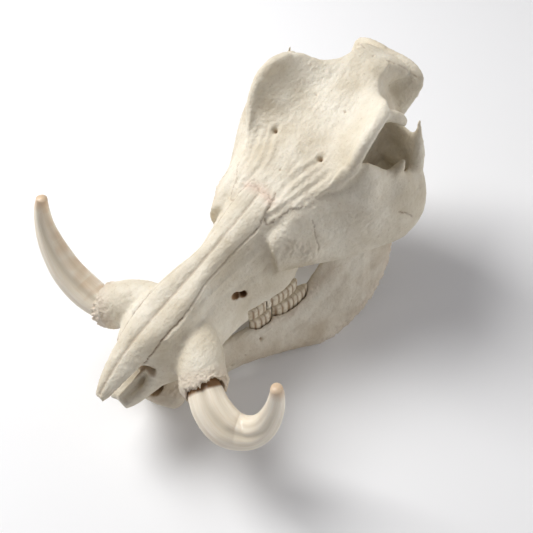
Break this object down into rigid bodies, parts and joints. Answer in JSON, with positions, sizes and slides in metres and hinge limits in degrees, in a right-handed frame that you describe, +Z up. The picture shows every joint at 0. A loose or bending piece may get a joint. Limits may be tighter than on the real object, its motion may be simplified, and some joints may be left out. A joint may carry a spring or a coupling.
{
  "type": "warthog skull",
  "caption": "Warthog skull with a long tapering snout, curved upper tusks, flaring cheek arches and a dished forehead, resting on its lower jaw.",
  "frame": {"origin": "on the resting surface, under the middle of the skull's length and width", "axes": "-Y towards the snout's tip, +Y towards the nuchal crest, +X to the animal's left, +Z up"},
  "size_m": [0.295, 0.4019, 0.2481],
  "materials": {
    "bone": "dry matt bone, bleached cream",
    "jaw_bone": "dry matt bone, a little browner",
    "ivory": "satin ivory, grooved lengthways and stained",
    "tooth_enamel": "worn satin tooth, ridged and stained brown"
  },
  "bodies": {
    "root": {"cranium": "bone", "mandible": "jaw_bone", "upper_tusk_left": "ivory", "upper_tusk_right": "ivory", "upper_front_tooth_left": "tooth_enamel", "upper_front_tooth_right": "tooth_enamel", "upper_molar_tooth_left": "tooth_enamel", "upper_molar_tooth_right": "tooth_enamel", "lower_front_tooth_left": "tooth_enamel", "lower_front_tooth_right": "tooth_enamel", "lower_molar_tooth_left": "tooth_enamel", "lower_molar_tooth_right": "tooth_enamel"}
  },
  "joints": []
}
